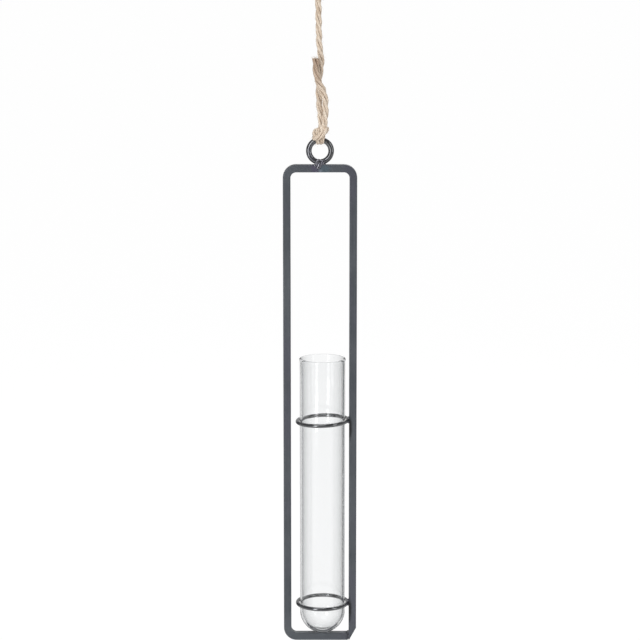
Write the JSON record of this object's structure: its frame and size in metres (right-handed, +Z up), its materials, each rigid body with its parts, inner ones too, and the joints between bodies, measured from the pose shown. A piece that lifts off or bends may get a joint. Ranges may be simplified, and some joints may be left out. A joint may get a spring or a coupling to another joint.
{
  "type": "hanging wall vase",
  "caption": "Hanging bud vase: a tall square-bar steel frame on a knotted jute cord holds a clear round-bottomed glass tube in wire rings.",
  "frame": {"origin": "where a wall hook bears in the cord's hanging loop", "axes": "+Z up along the hanging cord, -Y towards the viewer, +X to the leg that carries the rings"},
  "size_m": [0.039, 0.0288, 0.3771],
  "materials": {
    "dark_steel": "blackened bar under clear lacquer, satin",
    "ring_steel": "blackened wire, satin",
    "weld_steel": "blackened weld bead, rough",
    "clear_glass": "clear polished",
    "jute": "laid natural fibre, fuzzy"
  },
  "bodies": {
    "cord": {"cord": "jute", "cord_tail": "jute", "eye_knot": "jute", "top_knot": "jute", "hanging_loop": "jute"},
    "frame": {"frame_bar": "dark_steel", "corner_weld": "weld_steel", "eye_ring": "dark_steel", "eye_weld": "weld_steel", "upper_tube_ring": "ring_steel", "upper_ring_weld": "weld_steel", "lower_tube_ring": "ring_steel", "lower_ring_weld": "weld_steel"},
    "tube": {"glass_tube": "clear_glass"}
  },
  "joints": [
    {"name": "frame_swing", "type": "hinge", "parent": "cord", "child": "frame", "pos_m": [0, 0, -0.102], "axis": [1, 0, 0], "range_deg": [-30, 30]},
    {"name": "tube_lift", "type": "slide", "parent": "frame", "child": "tube", "axis": [0, 0, 1], "range_m": [0, 0.098]}
  ]
}
